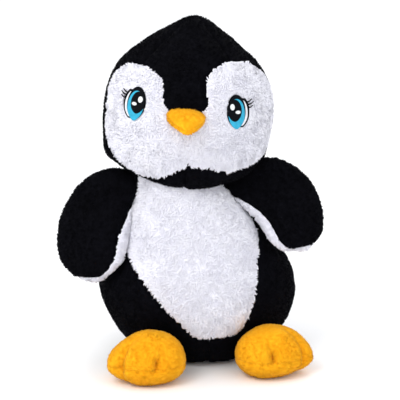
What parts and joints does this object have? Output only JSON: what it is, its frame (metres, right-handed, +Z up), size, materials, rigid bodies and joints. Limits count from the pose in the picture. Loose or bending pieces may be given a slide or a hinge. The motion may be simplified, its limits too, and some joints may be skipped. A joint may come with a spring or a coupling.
{
  "type": "plush penguin",
  "caption": "Seated soft toy penguin of sewn plush panels over stuffing, with a swivelling head, flippers and feet that swing on their seams, and a small tail.",
  "frame": {"origin": "centre of the whole toy's footprint box, on the surface that it sits on", "axes": "+Z up, -Y out of the face, +X to the right as seen from in front"},
  "size_m": [0.2958, 0.2513, 0.3986],
  "materials": {
    "black_plush": "short dense pile",
    "white_plush": "long shaggy pile",
    "orange_plush": "short dense pile",
    "fibre_fill": "loose polyester fibre",
    "black_embroidery": "satin stitch",
    "white_embroidery": "satin stitch",
    "blue_embroidery": "satin stitch",
    "orange_thread": "sewing thread",
    "black_thread": "sewing thread",
    "white_satin": "satin ribbon"
  },
  "bodies": {
    "torso": {"body_stuffing": "fibre_fill", "belly_panel": "white_plush", "body_front_left": "black_plush", "body_front_right": "black_plush", "body_back_left": "black_plush", "body_back_right": "black_plush", "base_panel": "black_plush", "back_closing_stitches": "black_thread", "care_label": "white_satin"},
    "neck_core": {"neck_stuffing_lower": "fibre_fill"},
    "neck_cap": {"neck_stuffing_upper": "fibre_fill"},
    "head": {"head_stuffing": "fibre_fill", "forehead_panel": "black_plush", "face_panel_left": "white_plush", "face_panel_right": "white_plush", "chin_panel_left": "black_plush", "chin_panel_right": "black_plush", "head_side_left": "black_plush", "head_side_right": "black_plush", "head_back_left": "black_plush", "head_back_right": "black_plush", "beak_upper": "orange_plush", "beak_lower": "orange_plush", "beak_stuffing": "fibre_fill", "eye_outline_left": "black_embroidery", "eye_outline_right": "black_embroidery", "eye_white_left": "white_embroidery", "eye_white_right": "white_embroidery", "eye_iris_left": "blue_embroidery", "eye_iris_right": "blue_embroidery", "eye_pupil_left": "black_embroidery", "eye_pupil_right": "black_embroidery", "eye_highlights_left": "white_embroidery", "eye_highlights_right": "white_embroidery", "eyelashes_left": "black_embroidery", "eyelashes_right": "black_embroidery"},
    "left_flipper": {"flipper_outer_left": "black_plush", "flipper_inner_left": "white_plush", "flipper_stuffing_left": "fibre_fill"},
    "right_flipper": {"flipper_outer_right": "black_plush", "flipper_inner_right": "white_plush", "flipper_stuffing_right": "fibre_fill"},
    "left_foot": {"foot_top_left": "orange_plush", "foot_sole_left": "orange_plush", "foot_stuffing_left": "fibre_fill", "toe_stitches_left": "orange_thread"},
    "right_foot": {"foot_top_right": "orange_plush", "foot_sole_right": "orange_plush", "foot_stuffing_right": "fibre_fill", "toe_stitches_right": "orange_thread"},
    "tail": {"tail_upper": "black_plush", "tail_lower": "black_plush", "tail_stuffing": "fibre_fill"}
  },
  "joints": [
    {"name": "head_turn", "type": "hinge", "parent": "torso", "child": "neck_core", "pos_m": [-0.009, 0.005, 0.2], "axis": [0, 0, 1], "range_deg": [-25, 25], "stiffness_Nm_per_rad": 1},
    {"name": "head_tilt", "type": "hinge", "parent": "neck_core", "child": "neck_cap", "pos_m": [-0.009, 0.005, 0.2], "axis": [0, 1, 0], "range_deg": [-6, 6], "stiffness_Nm_per_rad": 2.5},
    {"name": "head_nod", "type": "hinge", "parent": "neck_cap", "child": "head", "pos_m": [-0.009, 0.005, 0.2], "axis": [1, 0, 0], "range_deg": [-10, 8], "stiffness_Nm_per_rad": 2.5},
    {"name": "left_flipper_raise", "type": "hinge", "parent": "torso", "child": "left_flipper", "pos_m": [-0.087, -0.014, 0.194], "axis": [0, 1, 0], "range_deg": [-2, 45], "stiffness_Nm_per_rad": 0.4},
    {"name": "right_flipper_raise", "type": "hinge", "parent": "torso", "child": "right_flipper", "pos_m": [0.069, -0.014, 0.194], "axis": [0, -1, 0], "range_deg": [-3, 20], "stiffness_Nm_per_rad": 0.4},
    {"name": "left_foot_flex", "type": "hinge", "parent": "torso", "child": "left_foot", "pos_m": [-0.04591, -0.05306, 0.014], "axis": [-0.9994, 0.0349, 0], "range_deg": [-6, 9], "stiffness_Nm_per_rad": 0.5},
    {"name": "right_foot_flex", "type": "hinge", "parent": "torso", "child": "right_foot", "pos_m": [0.07916, -0.03101, 0.014], "axis": [-0.9272, -0.3746, 0], "range_deg": [-6, 9], "stiffness_Nm_per_rad": 0.5},
    {"name": "tail_lift", "type": "hinge", "parent": "torso", "child": "tail", "pos_m": [-0.00172, 0.0908, 0.034], "axis": [0.9848, 0.1736, 0], "range_deg": [-12, 15], "stiffness_Nm_per_rad": 0.12}
  ]
}
